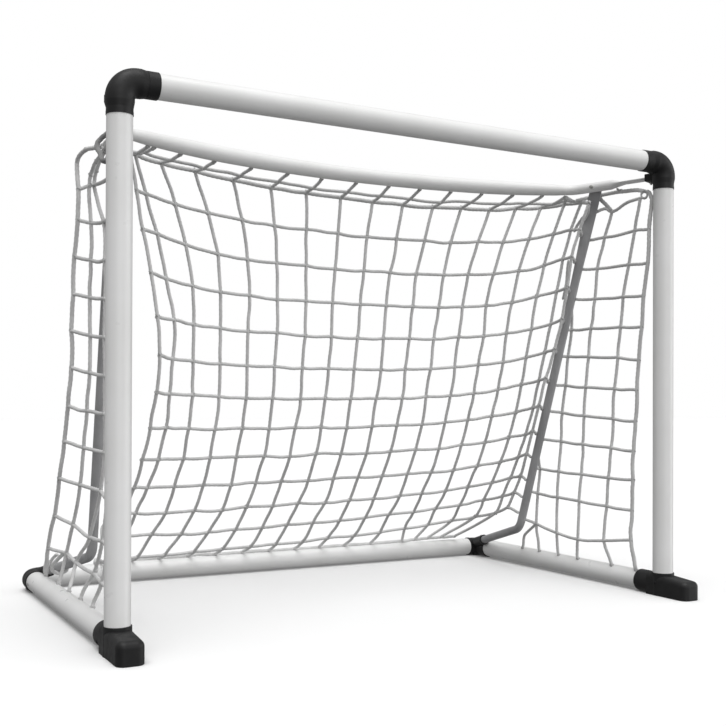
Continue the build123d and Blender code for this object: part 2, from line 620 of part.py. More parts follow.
with BuildPart() as snap_spring_bases:
    for plane, socketed in spring_planes:
        top = 26.6 if socketed else 22.9
        low = -28.6 if socketed else -24.8
        mid = (top + low) / 2
        big = (top - low) / 2
        # side view of the leaf in the plane of the tube's axis and the button
        view = Plane(origin=plane.origin - plane.y_dir * 6.0, x_dir=plane.x_dir, z_dir=plane.y_dir)
        flip = 1 if view.y_dir.dot(plane.z_dir) > 0 else -1
        with BuildSketch(view):
            with BuildLine():
                Polyline(
                    (34.7, flip * (top - 1.0)), (34.7, flip * top)
                )
                ThreePointArc((34.7, flip * top), (34.7 + big, flip * mid), (34.7, flip * low))
                Polyline((34.7, flip * low), (-8.0, flip * low), (-8.0, flip * (low + 1.0)), (34.7, flip * (low + 1.0)))
                ThreePointArc((34.7, flip * (low + 1.0)), (34.7 + big - 1.0, flip * mid), (34.7, flip * (top - 1.0)))
            make_face()
        extrude(amount=12.0)

# ---------------------------------------------------------------- net panels (plain, in the net's place)
net_t = 5.0

# back: hangs from behind the bow, nearly upright above, then sweeps back to the rear bar
# (height, its middle behind the posts' axes, how far its ends curve forward, half width)
net_levels = (
    (1330.0, 552.0, 125.0, 742.0),
    (960.0, 578.0, 100.0, 745.0),
    (640.0, 655.0, 100.0, 745.0),
    (350.0, 800.0, 80.0, 745.0),
    (80.0, 1005.0, 25.0, 760.0),
)
with BuildPart() as net_back:
    for z, middle, forward, half in net_levels:
        with BuildSketch(Plane.XY.offset(z)):
            with BuildLine():
                pts_in, pts_out = [], []
                for k in range(7):
                    x = -half + 2 * half * k / 6
                    y = y_front + middle - forward * (x / half) ** 2
                    pts_in.append((x, y - net_t / 2))
                    pts_out.append((x, y + net_t / 2))
                Spline(*pts_in)
                Line(pts_in[-1], pts_out[-1])
                Spline(*pts_out[::-1])
                Line(pts_out[0], pts_in[0])
            make_face()
    loft(ruled=True)

# sides: from the front behind the post back to the rear corner
with BuildPart() as net_right:
    top_z, low_z = 1292.0, 77.0
    with BuildSketch(Plane.XY.offset(top_z)):
        with BuildLine():
            Polyline((902.0, y_front + 46.0), (902.0 + net_t, y_front + 46.0), (868.0 + net_t, y_front + 285.0), (868.0, y_front + 285.0), close=True)
        make_face()
    with BuildSketch(Plane.XY.offset(low_z)):
        with BuildLine():
            Polyline((899.0, y_front + 120.0), (899.0 + net_t, y_front + 120.0), (899.0 + net_t, y_front + 905.0), (899.0, y_front + 905.0), close=True)
        make_face()
    loft(ruled=True)
with BuildPart() as net_left:
    mirror(net_right.part, about=Plane.YZ)

# ---------------------------------------------------------------- write every piece
finish(left_post, "left_post")
finish(right_post, "right_post")
finish(crossbar, "crossbar")
finish(left_ground_bar, "left_ground_bar")
finish(right_ground_bar, "right_ground_bar")
finish(rear_ground_bar, "rear_ground_bar")
finish(top_left_elbow, "top_left_elbow")
finish(top_right_elbow, "top_right_elbow")
finish(left_foot, "left_foot")
finish(right_foot, "right_foot")
finish(rear_left_corner, "rear_left_corner")
finish(rear_right_corner, "rear_right_corner")
finish(net_bow, "net_bow")
finish(left_strut, "left_strut")
finish(right_strut, "right_strut")
finish(bow_end_bolts, "bow_end_bolts")
finish(bow_end_nuts, "bow_end_nuts")
finish(strut_top_bolts, "strut_top_bolts")
finish(strut_top_washers, "strut_top_washers")
finish(strut_top_nuts, "strut_top_nuts")
finish(strut_socket_screws, "strut_socket_screws")
finish(snap_spring_bases, "snap_spring_bases")
for label, button in buttons.items():
    finish(button, label)
finish(net_back, "net_back")
finish(net_left, "net_left")
finish(net_right, "net_right")
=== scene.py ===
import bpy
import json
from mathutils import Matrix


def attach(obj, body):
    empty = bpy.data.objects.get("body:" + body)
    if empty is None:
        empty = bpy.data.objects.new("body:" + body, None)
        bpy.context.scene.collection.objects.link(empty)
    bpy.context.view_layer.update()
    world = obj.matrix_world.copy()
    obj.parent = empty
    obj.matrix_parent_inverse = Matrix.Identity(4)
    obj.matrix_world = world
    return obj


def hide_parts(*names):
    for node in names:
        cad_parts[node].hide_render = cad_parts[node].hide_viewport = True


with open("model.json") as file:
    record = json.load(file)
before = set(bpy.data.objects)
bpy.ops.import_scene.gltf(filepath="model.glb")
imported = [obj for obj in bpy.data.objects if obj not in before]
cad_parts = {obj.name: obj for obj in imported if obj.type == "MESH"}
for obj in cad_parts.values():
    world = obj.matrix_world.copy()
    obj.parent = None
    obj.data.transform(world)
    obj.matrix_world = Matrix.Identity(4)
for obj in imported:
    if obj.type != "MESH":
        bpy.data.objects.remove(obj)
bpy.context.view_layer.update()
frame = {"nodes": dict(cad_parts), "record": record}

import json
import math

import bpy
import numpy as np
from mathutils import Matrix, Vector

rng = np.random.default_rng(41)
Y0 = -0.48375          # the mouth plane: net points below are given in metres back from it
ROPE = 0.0054          # the net cord's radius
scene = bpy.context.scene


# ---------------------------------------------------------------- camera, floor, light
def rotation(yaw, pitch, roll):
    f = Vector((math.sin(yaw) * math.cos(pitch), math.cos(yaw) * math.cos(pitch), math.sin(pitch)))
    right = Vector((math.cos(yaw), -math.sin(yaw), 0.0))
    up = right.cross(f)
    r = math.cos(roll) * right + math.sin(roll) * up
    u = -math.sin(roll) * right + math.cos(roll) * up
    return Matrix((r, u, -f)).transposed()


cam_data = bpy.data.cameras.new("camera")
cam_data.sensor_width = 36.0
cam_data.lens = 52.01
cam_data.shift_y = 0.05096
cam_data.clip_end = 200.0
cam = bpy.data.objects.new("camera", cam_data)
scene.collection.objects.link(cam)
cam.matrix_world = Matrix.Translation((-1.6001, -2.5481 + Y0, 0.6124)) @ rotation(0.4972883, 0.0060217, 0.0032701).to_4x4()
scene.camera = cam

scene.view_settings.view_transform = "Standard"
scene.view_settings.look = "None"

world = bpy.data.worlds.new("studio")
scene.world = world
world.use_nodes = True
wn, wl = world.node_tree.nodes, world.node_tree.links
wn.clear()
w_out = wn.new("ShaderNodeOutputWorld")
w_bg = wn.new("ShaderNodeBackground")
w_co = wn.new("ShaderNodeTexCoord")
w_sep = wn.new("ShaderNodeSeparateXYZ")
w_map = wn.new("ShaderNodeMapRange")
w_path = wn.new("ShaderNodeLightPath")
w_mix = wn.new("ShaderNodeMix")
w_map.inputs["From Min"].default_value = -1.0
w_map.inputs["From Max"].default_value = 1.0
w_map.inputs["To Min"].default_value = 0.11
w_map.inputs["To Max"].default_value = 0.51
w_mix.data_type = "FLOAT"
w_mix.inputs["B"].default_value = 1.0
wl.new(w_co.outputs["Generated"], w_sep.inputs[0])
wl.new(w_sep.outputs["Z"], w_map.inputs["Value"])
wl.new(w_path.outputs["Is Camera Ray"], w_mix.inputs["Factor"])
wl.new(w_map.outputs["Result"], w_mix.inputs["A"])
wl.new(w_mix.outputs["Result"], w_bg.inputs["Color"])
wl.new(w_bg.outputs[0], w_out.inputs["Surface"])


def soft_sun(name, towards, strength, angle):
    data = bpy.data.lights.new(name, "SUN")
    data.energy = strength
    data.angle = math.radians(angle)
    o = bpy.data.objects.new(name, data)
    scene.collection.objects.link(o)
    o.location = Vector(towards) * 6
    o.rotation_euler = Vector(towards).to_track_quat("Z", "Y").to_euler()
    return o


soft_sun("overhead_light", (-0.12, -0.23, 0.966), 1.9, 50)
soft_sun("front_light", (-0.15, -0.95, 0.25), 0.63, 50)
soft_sun("side_light", (0.9, -0.4, 0.1), 0.8, 50)


# ---------------------------------------------------------------- materials
def material(name, colour, rough, metal=0.0, coat=0.0, sheen=0.0, spec=0.5):
    m = bpy.data.materials.new(name)
    m.use_nodes = True
    b = m.node_tree.nodes["Principled BSDF"]
    b.inputs["Base Color"].default_value = (*colour, 1)
    b.inputs["Roughness"].default_value = rough
    b.inputs["Metallic"].default_value = metal
    b.inputs["Coat Weight"].default_value = coat
    b.inputs["Coat Roughness"].default_value = 0.12
    b.inputs["Sheen Weight"].default_value = sheen
    b.inputs["Specular IOR Level"].default_value = spec
    m.diffuse_color = (*colour, 1)
    return m


def noise(m, scale, detail=3.0, rough=0.5, stretch=(1, 1, 1)):
    n = m.node_tree.nodes
    co = n.new("ShaderNodeTexCoord")
    mp = n.new("ShaderNodeMapping")
    mp.inputs["Scale"].default_value = stretch
    tx = n.new("ShaderNodeTexNoise")
    tx.inputs["Scale"].default_value = scale
    tx.inputs["Detail"].default_value = detail
    tx.inputs["Roughness"].default_value = rough
    m.node_tree.links.new(co.outputs["Object"], mp.inputs["Vector"])
    m.node_tree.links.new(mp.outputs["Vector"], tx.inputs["Vector"])
    return tx.outputs["Fac"]


def to_range(m, fac, lo, hi, a=0.3, b=0.7):
    r = m.node_tree.nodes.new("ShaderNodeMapRange")
    r.inputs["From Min"].default_value = a
    r.inputs["From Max"].default_value = b
    r.inputs["To Min"].default_value = lo
    r.inputs["To Max"].default_value = hi
    m.node_tree.links.new(fac, r.inputs["Value"])
    return r.outputs["Result"]


def vary_colour(m, fac, c1, c2, a=0.35, b=0.65):
    r = m.node_tree.nodes.new("ShaderNodeValToRGB")
    r.color_ramp.elements[0].position = a
    r.color_ramp.elements[1].position = b
    r.color_ramp.elements[0].color = (*c1, 1)
    r.color_ramp.elements[1].color = (*c2, 1)
    m.node_tree.links.new(fac, r.inputs[0])
    m.node_tree.links.new(r.outputs[0], m.node_tree.nodes["Principled BSDF"].inputs["Base Color"])
    return r


def link_rough(m, out):
    m.node_tree.links.new(out, m.node_tree.nodes["Principled BSDF"].inputs["Roughness"])


def bump(m, height, strength, distance, under=None):
    b = m.node_tree.nodes.new("ShaderNodeBump")
    b.inputs["Strength"].default_value = strength
    b.inputs["Distance"].default_value = distance
    m.node_tree.links.new(height, b.inputs["Height"])
    if under is not None:
        m.node_tree.links.new(under, b.inputs["Normal"])
    m.node_tree.links.new(b.outputs["Normal"], m.node_tree.nodes["Principled BSDF"].inputs["Normal"])
    return b.outputs["Normal"]


# extruded white plastic tube: nearly even, with faint smudges and a slight waviness in its gloss
tube_white = material("white_tube_gloss", (0.86, 0.86, 0.855), 0.34, coat=0.15)
vary_colour(tube_white, noise(tube_white, 5.0, 4.0), (0.83, 0.83, 0.822), (0.88, 0.88, 0.878))
link_rough(tube_white, to_range(tube_white, noise(tube_white, 22.0, 5.0), 0.27, 0.42))
bump(tube_white, noise(tube_white, 160.0, 2.0), 0.06, 0.0004)

# the bow's powder coat: the same white, with a fine orange peel
bow_white = material("white_powder_coat", (0.86, 0.86, 0.855), 0.38, coat=0.1)
vary_colour(bow_white, noise(bow_white, 6.0, 4.0), (0.83, 0.83, 0.823), (0.88, 0.88, 0.876))
link_rough(bow_white, to_range(bow_white, noise(bow_white, 30.0, 4.0), 0.30, 0.46))
bump(bow_white, noise(bow_white, 420.0, 2.0), 0.12, 0.0005)

# the strut is a white tube: its mid-grey base colour is painted shade, the tone the tube shows from below in shade;
# the noise on it is random tone
strut_shaded_white = material("strut_white_painted_shade", (0.36, 0.36, 0.366), 0.42)
vary_colour(strut_shaded_white, noise(strut_shaded_white, 9.0, 5.0), (0.32, 0.32, 0.327), (0.40, 0.40, 0.407))
link_rough(strut_shaded_white, to_range(strut_shaded_white, noise(strut_shaded_white, 60.0, 4.0), 0.34, 0.55))
bump(strut_shaded_white, noise(strut_shaded_white, 520.0, 2.0), 0.18, 0.0005)

# moulded connectors: satin black with a fine spark-eroded grain and faint rub marks
plastic_black = material("black_moulding", (0.009, 0.009, 0.0095), 0.5, spec=0.35)
vary_colour(plastic_black, noise(plastic_black, 14.0, 6.0, 0.6), (0.0075, 0.0075, 0.008), (0.014, 0.014, 0.0145))
link_rough(plastic_black, to_range(plastic_black, noise(plastic_black, 38.0, 6.0), 0.42, 0.60))
grain = bump(plastic_black, noise(plastic_black, 1400.0, 2.0), 0.22, 0.0004)

zinc = material("zinc_plate", (0.62, 0.62, 0.60), 0.34, metal=1.0)
vary_colour(zinc, noise(zinc, 120.0, 5.0), (0.50, 0.50, 0.48), (0.70, 0.70, 0.68))
link_rough(zinc, to_range(zinc, noise(zinc, 300.0, 4.0), 0.24, 0.48))
bump(zinc, noise(zinc, 900.0, 2.0), 0.1, 0.0002)

button = material("plated_button", (0.45, 0.45, 0.45), 0.30, metal=1.0)
vary_colour(button, noise(button, 200.0, 5.0), (0.34, 0.34, 0.34), (0.56, 0.56, 0.55))
link_rough(button, to_range(button, noise(button, 420.0, 4.0), 0.22, 0.44))
bump(button, noise(button, 1500.0, 2.0), 0.08, 0.0001)

# the buttons in the feet's black sockets: the same steel, blackened
button_black = material("blackened_button", (0.03, 0.03, 0.032), 0.42, metal=1.0)
vary_colour(button_black, noise(button_black, 200.0, 5.0), (0.02, 0.02, 0.022), (0.045, 0.045, 0.047))
link_rough(button_black, to_range(button_black, noise(button_black, 420.0, 4.0), 0.34, 0.54))
bump(button_black, noise(button_black, 1500.0, 2.0), 0.08, 0.0001)

spring = material("spring_steel", (0.35, 0.35, 0.36), 0.36, metal=1.0)
vary_colour(spring, noise(spring, 150.0, 4.0), (0.28, 0.28, 0.29), (0.40, 0.40, 0.41))
link_rough(spring, to_range(spring, noise(spring, 300.0, 4.0), 0.28, 0.5))
bump(spring, noise(spring, 700.0, 2.0), 0.1, 0.0002)


def cord_material(name, dark, light, scale=26.0):
    """Twisted cord: strands as slanting ridges along the cord's own UV, grime that comes and goes, dull fibres."""
    m = material(name, light, 0.82, sheen=0.25, spec=0.25)
    m.node_tree.nodes["Principled BSDF"].inputs["Sheen Roughness"].default_value = 0.5
    n, l = m.node_tree.nodes, m.node_tree.links
    vary_colour(m, noise(m, scale, 5.0, 0.6), dark, light, 0.30, 0.70)
    uv = n.new("ShaderNodeUVMap")
    uv.uv_map = "strand"
    mp = n.new("ShaderNodeMapping")
    mp.inputs["Rotation"].default_value = (0, 0, math.radians(38))
    wave = n.new("ShaderNodeTexWave")
    wave.wave_type = "BANDS"
    wave.inputs["Scale"].default_value = 150.0
    wave.inputs["Distortion"].default_value = 1.2
    wave.inputs["Detail"].default_value = 2.0
    l.new(uv.outputs["UV"], mp.inputs["Vector"])
    l.new(mp.outputs["Vector"], wave.inputs["Vector"])
    strands = bump(m, wave.outputs["Fac"], 0.55, 0.0006)
    bump(m, noise(m, 1800.0, 2.0), 0.25, 0.0003, strands)
    link_rough(m, to_range(m, noise(m, 90.0, 3.0), 0.72, 0.92))
    return m


cord_grey = cord_material("net_cord_grey", (0.62, 0.62, 0.617), (0.76, 0.76, 0.757))
knot_grey = cord_material("net_knot_grey", (0.46, 0.46, 0.457), (0.60, 0.60, 0.597))
tie_dark = cord_material("tie_cord_dark", (0.18, 0.18, 0.18), (0.32, 0.32, 0.318))

finish = {
    "white_tube": tube_white,
    "white_painted_tube": bow_white,
    "grey_painted_tube": strut_shaded_white,
    "black_plastic": plastic_black,
    "zinc_steel": zinc,
    "button_steel": button,
    "spring_steel": spring,
    "net_cord": cord_grey,
}
for part in frame["record"]["subparts"]:
    o = frame["nodes"][part["node"]]
    m = finish[part["material_slot"]]
    if part["node"].endswith(("_post_foot_button", "_ground_bar_front_button")):
        m = button_black
    if not o.data.materials:
        o.data.materials.append(m)
    for i in range(len(o.data.materials)):
        o.data.materials[i] = m

floor_mat = material("pale_floor", (0.95, 0.95, 0.95), 0.9, spec=0.1)
vary_colour(floor_mat, noise(floor_mat, 1.5, 2.0), (0.945, 0.945, 0.945), (0.96, 0.96, 0.96))
fm = bpy.data.meshes.new("studio_floor")
fm.from_pydata([(-40, -40, 0), (40, -40, 0), (40, 40, 0), (-40, 40, 0)], [], [(0, 1, 2, 3)])
floor = bpy.data.objects.new("studio_floor", fm)
scene.collection.objects.link(floor)
fm.materials.append(floor_mat)
floor.visible_diffuse = False
floor.visible_shadow = False
floor.visible_glossy = False


# ---------------------------------------------------------------- cord geometry
def natural(ts, ys, t):
    """Natural cubic spline through (ts, ys) read at t."""
    ts, ys = np.asarray(ts, float), np.asarray(ys, float)
    n = len(ts)
    h = np.diff(ts)
    a = np.zeros((n, n))
    rhs = np.zeros((n,) + ys.shape[1:])
    a[0, 0] = a[-1, -1] = 1
    for i in range(1, n - 1):
        a[i, i - 1], a[i, i], a[i, i + 1] = h[i - 1], 2 * (h[i - 1] + h[i]), h[i]
        rhs[i] = 6 * ((ys[i + 1] - ys[i]) / h[i] - (ys[i] - ys[i - 1]) / h[i - 1])
    mm = np.linalg.solve(a, rhs)
    k = np.clip(np.searchsorted(ts, t) - 1, 0, n - 2)
    d0, d1, hh = t - ts[k], ts[k + 1] - t, h[k]
    ex = (slice(None),) + (None,) * (ys.ndim - 1)
    d0, d1, hh = d0[ex], d1[ex], hh[ex]
    return (
        mm[k] * d1**3 / (6 * hh)
        + mm[k + 1] * d0**3 / (6 * hh)
        + (ys[k] / hh - mm[k] * hh / 6) * d1
        + (ys[k + 1] / hh - mm[k + 1] * hh / 6) * d0
    )


def run(points, curve=0.55, wander=0.0012, sag=0.0, step=0.0042):
    """A cord's line through its knots: nearly straight between them, turning softly at each, with a little slack."""
    p = np.asarray(points, float)
    n = len(p)
    if n == 2:
        m = np.array([p[1] - p[0]] * 2)
    else:
        m = np.empty_like(p)
        m[1:-1] = (p[2:] - p[:-2]) / 2
        m[0], m[-1] = p[1] - p[0], p[-1] - p[-2]
    out = []
    for k in range(n - 1):
        d = p[k + 1] - p[k]
        length = float(np.linalg.norm(d))
        count = max(2, int(math.ceil(length / step)))
        t = np.arange(count if k < n - 2 else count + 1) / count
        straight = p[k] + t[:, None] * d
        ma = m[k] * length / max(np.linalg.norm(m[k]), 1e-9)
        mb = m[k + 1] * length / max(np.linalg.norm(m[k + 1]), 1e-9)
        h00, h10 = 2 * t**3 - 3 * t**2 + 1, t**3 - 2 * t**2 + t
        h01, h11 = -2 * t**3 + 3 * t**2, t**3 - t**2
        smooth = h00[:, None] * p[k] + h10[:, None] * ma + h01[:, None] * p[k + 1] + h11[:, None] * mb
        q = straight + curve * (smooth - straight)
        soft = (4 * t * (1 - t))[:, None]
        reach = min(1.0, length / 0.1)
        q = q + soft * rng.normal(0, wander, 3) * reach
        q = q + (np.sin(2 * np.pi * t) * (4 * t * (1 - t)))[:, None] * rng.normal(0, wander * 0.5, 3) * reach
        q[:, 2] -= soft[:, 0] * sag * reach
        out.append(q)
    return np.concatenate(out)


class Cords:
    """Collects cords and knots and turns them into one mesh."""

    def __init__(self, name):
        self.name, self.verts, self.faces, self.uvs, self.slots, self.count, self.length = name, [], [], [], [], 0, 0.0

    def tube(self, line, radius=ROPE, sides=9, slot=0, closed=False, lobes=0.07, pitch=0.046):
        p = np.asarray(line, float).copy()
        keep = np.r_[True, np.linalg.norm(np.diff(p, axis=0), axis=1) > 1e-5]
        p = p[keep]
        n = len(p)
        tan = np.roll(p, -1, 0) - np.roll(p, 1, 0) if closed else np.gradient(p, axis=0)
        tan /= np.maximum(np.linalg.norm(tan, axis=1), 1e-12)[:, None]
        ref = np.array([0, 0, 1.0]) if abs(tan[0][2]) < 0.9 else np.array([1.0, 0, 0])
        u = np.cross(tan[0], ref)
        u /= np.linalg.norm(u)
        frames = np.empty_like(p)
        for i in range(n):
            u = u - tan[i] * (u @ tan[i])
            u /= np.linalg.norm(u)
            frames[i] = u
        v = np.cross(tan, frames)
        s = np.r_[0, np.cumsum(np.linalg.norm(np.diff(p, axis=0), axis=1))]
        th = np.arange(sides) * 2 * np.pi / sides
        r = radius * (1 + lobes * np.cos(3 * (th[None, :] - 2 * np.pi * s[:, None] / pitch)))
        if not closed:
            cap = np.ones(n)
            cap[0] = cap[-1] = 0.55
            r = r * cap[:, None]
        ring = p[:, None, :] + r[:, :, None] * (np.cos(th)[None, :, None] * frames[:, None, :] + np.sin(th)[None, :, None] * v[:, None, :])
        base = self.count
        self.verts.append(ring.reshape(-1, 3))
        rows = n if closed else n - 1
        i, j = np.meshgrid(np.arange(rows), np.arange(sides), indexing="ij")
        i2, j2 = (i + 1) % n, (j + 1) % sides
        quads = np.stack([i * sides + j, i * sides + j2, i2 * sides + j2, i2 * sides + j], -1).reshape(-1, 4)
        self.faces.append(quads + base)
        around = 2 * np.pi * radius
        uv = np.stack(
            [
                np.stack([j / sides * around, s[i]], -1),
                np.stack([(j + 1) / sides * around, s[i]], -1),
                np.stack([(j + 1) / sides * around, s[i] + (s[1] if n > 1 else 0)], -1),
                np.stack([j / sides * around, s[i] + (s[1] if n > 1 else 0)], -1),
            ],
            2,
        ).reshape(-1, 2)
        self.uvs.append(uv)
        self.slots.append(np.full(len(quads), slot))
        self.count += n * sides
        if not closed:
            for end, flip in ((0, True), (n - 1, False)):
                tip = p[end] + tan[end] * radius * (0.4 if end else -0.4)
                self.verts.append(tip[None])
                a = end * sides + np.arange(sides) + base
                b = end * sides + (np.arange(sides) + 1) % sides + base
                c = np.full(sides, self.count)
                tri = np.stack([b, a, c, c] if flip else [a, b, c, c], -1)
                self.faces.append(tri)
                self.uvs.append(np.zeros((sides * 3, 2)))
                self.slots.append(np.full(sides, slot))
                self.count += 1
        self.length += float(s[-1])

    def knot(self, at, normal, size=0.0019, radius=0.0034, slot=1, turn=None):
        """A small overhand knot, its flat side across the net."""
        nrm = np.asarray(normal, float)
        nrm = nrm / max(np.linalg.norm(nrm), 1e-9)
        ref = np.array([0, 0, 1.0]) if abs(nrm[2]) < 0.9 else np.array([1.0, 0, 0])
        a = np.cross(nrm, ref)
        a /= np.linalg.norm(a)
        b = np.cross(nrm, a)
        w = rng.uniform(0, 2 * np.pi) if turn is None else turn
        k = size * rng.uniform(0.92, 1.1)
        t = np.linspace(0, 2 * np.pi, 37)[:-1]
        x, y, z = np.sin(t) + 2 * np.sin(2 * t), np.cos(t) - 2 * np.cos(2 * t), -np.sin(3 * t)
        x, y = x * math.cos(w) - y * math.sin(w), x * math.sin(w) + y * math.cos(w)
        line = np.asarray(at, float) + k * (x[:, None] * a + y[:, None] * b + 1.3 * z[:, None] * nrm)
        self.tube(line, radius, 7, slot, closed=True, lobes=0.0)

    def loop(self, centre, axis, radius_a, cord=0.0026, slot=0, turns=1.0, tilt=0.0, start=0.0, advance=0.0):
        """A turn or more of cord round something round."""
        ax = np.asarray(axis, float)
        ax /= np.linalg.norm(ax)
        ref = np.array([0, 0, 1.0]) if abs(ax[2]) < 0.9 else np.array([1.0, 0, 0])
        a = np.cross(ax, ref)
        a /= np.linalg.norm(a)
        b = np.cross(ax, a)
        count = int(26 * turns)
        t = np.linspace(0, 2 * np.pi * turns, count)
        r = radius_a * (1 + 0.02 * np.sin(3 * t + start))
        along = advance * t / (2 * np.pi) + tilt * np.sin(t + start)
        line = np.asarray(centre, float) + (r * np.cos(t + start))[:, None] * a + (r * np.sin(t + start))[:, None] * b + along[:, None] * ax
        self.tube(line, cord, 8, slot, lobes=0.04)

    def build(self, body, mats):
        v = np.concatenate(self.verts)
        v = v + np.array([0, Y0, 0])
        me = bpy.data.meshes.new(self.name)
        faces, uvs, mats_i = [], [], []
        polys = []
        for f, uv, sl in zip(self.faces, self.uvs, self.slots):
            if len(uv) == len(f) * 3:
                polys += [tuple(int(x) for x in q[:3]) for q in f]
            else:
                polys += [tuple(int(x) for x in q) for q in f]
            uvs.append(uv)
            mats_i.append(sl)
        me.from_pydata(v.tolist(), [], polys)
        layer = me.uv_layers.new(name="strand")
        layer.data.foreach_set("uv", np.concatenate(uvs).astype(np.float32).ravel())
        for m in mats:
            me.materials.append(m)
        me.polygons.foreach_set("material_index", np.concatenate(mats_i).astype(np.int32))
        me.polygons.foreach_set("use_smooth", np.ones(len(polys), bool))
        me.update()
        o = bpy.data.objects.new(self.name, me)
        scene.collection.objects.link(o)
        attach(o, body)
        return o


# ---------------------------------------------------------------- the back of the net
# How the hanging net lies: millimetres across, back from the mouth and up, at chosen columns (left to right) and rows (top to bottom).
BACK_COLUMNS = [0, 1, 2, 5, 8, 11, 14, 16, 17]
BACK_ROWS = [0, 2, 4, 6, 8, 10, 12]
BACK = [
    [(-723, 517, 1363), (-706, 542, 1367), (-616, 572, 1359), (-241, 595, 1326), (135, 585, 1313), (477, 548, 1315), (772, 474, 1335), (831, 325, 1334), (799, 247, 1314)],
    [(-693, 495, 1136), (-637, 540, 1132), (-533, 571, 1112), (-210, 602, 1081), (107, 600, 1075), (418, 583, 1079), (710, 527, 1108), (806, 392, 1138), (778, 312, 1134)],
    [(-655, 474, 879), (-586, 539, 875), (-501, 585, 868), (-202, 622, 851), (98, 623, 848), (402, 613, 855), (693, 572, 883), (790, 446, 913), (783, 371, 927)],
    [(-642, 511, 654), (-579, 580, 651), (-490, 626, 645), (-196, 668, 637), (100, 669, 638), (401, 660, 648), (696, 633, 677), (792, 510, 711), (763, 432, 716)],
    [(-655, 609, 445), (-586, 675, 442), (-491, 715, 440), (-193, 751, 441), (103, 751, 444), (403, 740, 454), (698, 716, 480), (803, 601, 513), (769, 520, 528)],
    [(-673, 752, 270), (-619, 817, 263), (-511, 843, 258), (-208, 862, 259), (93, 863, 265), (399, 851, 277), (700, 830, 303), (806, 700, 341), (794, 620, 357)],
    [(-670, 968, 89), (-639, 970, 90), (-559, 987, 92), (-246, 995, 100), (70, 999, 108), (399, 994, 125), (719, 981, 155), (804, 800, 203), (793, 700, 231)],
]
table = np.array(BACK, float) / 1000
by_row = np.stack([natural(BACK_ROWS, table[:, i], np.arange(13.0)) for i in range(9)], 1)       # 13 x 9
nodes = np.stack([natural(BACK_COLUMNS, by_row[j], np.arange(18.0)) for j in range(13)], 0)     # 13 x 18
nodes = nodes + rng.normal(0, 1, nodes.shape) * np.array([0.0016, 0.0022, 0.0016])


def strut_point(z, s=1):
    t = (1.37 - z) / (1.37 - 0.156)
    return np.array([s * (0.839 - 0.036 * t), 0.256 + 0.384 * t, z])


strut_dir = strut_point(0.3) - strut_point(1.2)
strut_dir /= np.linalg.norm(strut_dir)
strut_dir_l = strut_dir * np.array([-1, 1, 1])

back = Cords("net_back_cords")
normal = np.array([0, -1.0, 0.25])
for j in range(13):
    back.tube(run(nodes[j], 0.7, 0.0012, 0.0012), ROPE * (1.3 if j == 0 else 1.0))
# the foot of the net: its last row lies on the rear bar
foot = []
for i in range(18):
    x, z, y = nodes[12, i, 0], 0.0705, 1.078
    if i >= 12:
        k = (i - 12) / 5
        x = nodes[12, i, 0] * 1.0
        x, y, z = 0.545 + 0.29 * k, 1.074 - 0.06 * k * k * k, 0.0735 + 0.012 * k
    foot.append((x, y, z))
foot = np.array(foot)
for i in range(18):
    column = nodes[:, i]
    if i < 17:
        column = np.vstack([column, foot[i]])
    back.tube(run(column, 0.7, 0.0012), ROPE)
back.tube(run(foot[:17], 0.8, 0.0015), ROPE * 1.15)
for j in range(13):
    for i in range(18):
        du = nodes[j, min(i + 1, 17)] - nodes[j, max(i - 1, 0)]
        dv = nodes[min(j + 1, 12), i] - nodes[max(j - 1, 0), i]
        nrm = np.cross(du, dv)
        back.knot(nodes[j, i], nrm, 0.0022 if j == 0 else 0.0019)
for i in range(17):
    # each column ends in a turn round the last row, pulled down on the bar
    back.knot(foot[i] + np.array([0, 0.0, -0.001]), (0, 0.4, 1), 0.0016)

# the roof strip: from the border cord forward to the bow, with one row halfway
def bow_at(x):
    ax = abs(x)
    if ax <= 0.6:
        y = 0.482 - 2.1 + math.sqrt(2.1**2 - ax**2)
        r = 0.024 if ax < 0.5 else 0.024 - 0.005 * (ax - 0.5) / 0.235
    else:
        t = (ax - 0.6) / (0.794 - 0.6)
        y = (0.482 - 2.1 + math.sqrt(2.1**2 - 0.36)) * (1 - t) + 0.327 * t
        r = 0.022 - 0.004 * t
    return y, r


roof_mid = []
for i in range(17):
    a = nodes[0, i]
    x = float(np.clip(a[0] + 0.006, -0.77, 0.775))
    y, r = bow_at(x)
    b = np.array([x, y + 0.010, 1.37 - r - 0.0015])
    m = (a + b) / 2 + np.array([0.0, 0.004, -0.004]) + rng.normal(0, 0.0025, 3)
    roof_mid.append(m)
    back.tube(run([a, m, b], 0.6, 0.0016), ROPE)
    back.knot(m, (0, 0.3, 1), 0.0015)
    # the lashing that holds it under the bow
    back.tube(run([b + np.array([0.007, 0.0, 0.0025]), b + np.array([0.002, 0.002, -0.001]), b + np.array([-0.006, -0.001, 0.002])], 0.9, 0.0004), 0.0032, slot=1)
    back.knot(b + np.array([-0.001, 0.003, -0.001]), (0, 0.5, 1), 0.0014, 0.0026, slot=1)
roof_mid = [roof_mid[0] + np.array([-0.075, -0.035, 0.0])] + roof_mid
back.tube(run(roof_mid, 0.7, 0.002), ROPE)

# the right edge is laced round the strut, row by row
for j in range(0, 13):
    e = nodes[j, 17]
    c = strut_point(float(np.clip(e[2] - 0.02, 0.17, 1.26)))
    back.tube(run([e, (e + c) / 2 + np.array([0, 0.006, 0.0]), c + np.array([-0.012, 0.012, 0.004])], 0.8, 0.0012), ROPE)

# at the foot of the free left edge the last rows go on round to the side net
left_join = {
    10: [(-0.735, 0.66, 0.262), (-0.80, 0.53, 0.252), (-0.868, 0.250, 0.250)],
    12: [(-0.735, 0.86, 0.112), (-0.80, 0.60, 0.135), (-0.870, 0.325, 0.160)],
}
for j, more in left_join.items():
    back.tube(run([nodes[j, 0]] + [np.array(q) for q in more], 0.8, 0.002, 0.003), ROPE)
